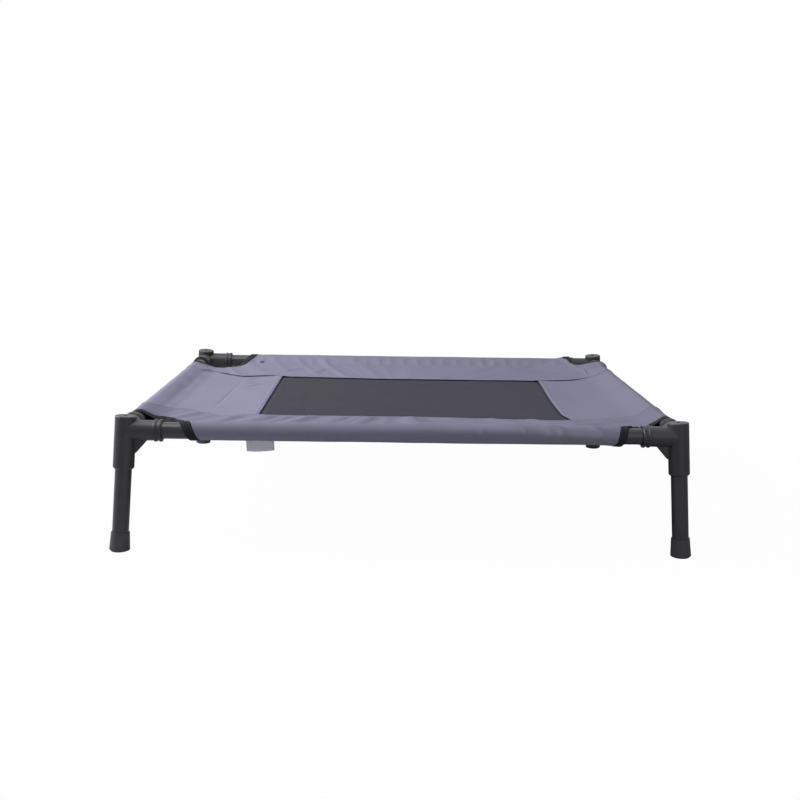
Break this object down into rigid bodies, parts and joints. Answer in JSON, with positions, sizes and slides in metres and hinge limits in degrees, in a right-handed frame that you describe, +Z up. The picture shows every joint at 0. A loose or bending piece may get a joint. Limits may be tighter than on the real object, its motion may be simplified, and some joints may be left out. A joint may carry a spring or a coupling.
{
  "type": "raised dog cot",
  "caption": "Raised dog cot: a black tube frame with moulded corner fittings and splayed push-in legs carries a stretched lavender-grey cloth cover with a dark mesh middle.",
  "frame": {"origin": "on the floor, under the centre of the cot", "axes": "+X along the long side, +Y from the front towards the back, +Z up"},
  "size_m": [0.7854, 0.6334, 0.1836],
  "materials": {
    "fitting_plastic": "moulded black plastic, satin",
    "tube_steel": "black powder coat, satin",
    "foot_rubber": "matte black rubber",
    "cover_cloth": "lavender-grey coated plain-weave cloth",
    "mesh_cloth": "dark grey coated-yarn mesh",
    "edging_tape": "black woven edging tape",
    "label_cloth": "pale grey satin tape, bare"
  },
  "bodies": {
    "frame": {"front_left_corner": "fitting_plastic", "front_right_corner": "fitting_plastic", "back_left_corner": "fitting_plastic", "back_right_corner": "fitting_plastic", "front_left_binding": "edging_tape", "front_right_binding": "edging_tape", "back_left_binding": "edging_tape", "back_right_binding": "edging_tape", "front_rail": "tube_steel", "back_rail": "tube_steel", "left_rail": "tube_steel", "right_rail": "tube_steel", "mesh_panel": "mesh_cloth", "left_end_panel": "cover_cloth", "right_end_panel": "cover_cloth", "front_strip": "cover_cloth", "back_strip": "cover_cloth", "care_label": "label_cloth"},
    "front_left_support": {"front_left_leg": "tube_steel", "front_left_foot": "foot_rubber"},
    "front_right_support": {"front_right_leg": "tube_steel", "front_right_foot": "foot_rubber"},
    "back_left_support": {"back_left_leg": "tube_steel", "back_left_foot": "foot_rubber"},
    "back_right_support": {"back_right_leg": "tube_steel", "back_right_foot": "foot_rubber"}
  },
  "joints": [
    {"name": "front_left_leg_pull", "type": "slide", "parent": "frame", "child": "front_left_support", "axis": [-0.0679, -0.0679, -0.9954], "range_m": [0, 0.036]},
    {"name": "front_right_leg_pull", "type": "slide", "parent": "frame", "child": "front_right_support", "axis": [0.0679, -0.0679, -0.9954], "range_m": [0, 0.036]},
    {"name": "back_left_leg_pull", "type": "slide", "parent": "frame", "child": "back_left_support", "axis": [-0.0679, 0.0679, -0.9954], "range_m": [0, 0.036]},
    {"name": "back_right_leg_pull", "type": "slide", "parent": "frame", "child": "back_right_support", "axis": [0.0679, 0.0679, -0.9954], "range_m": [0, 0.036]}
  ]
}
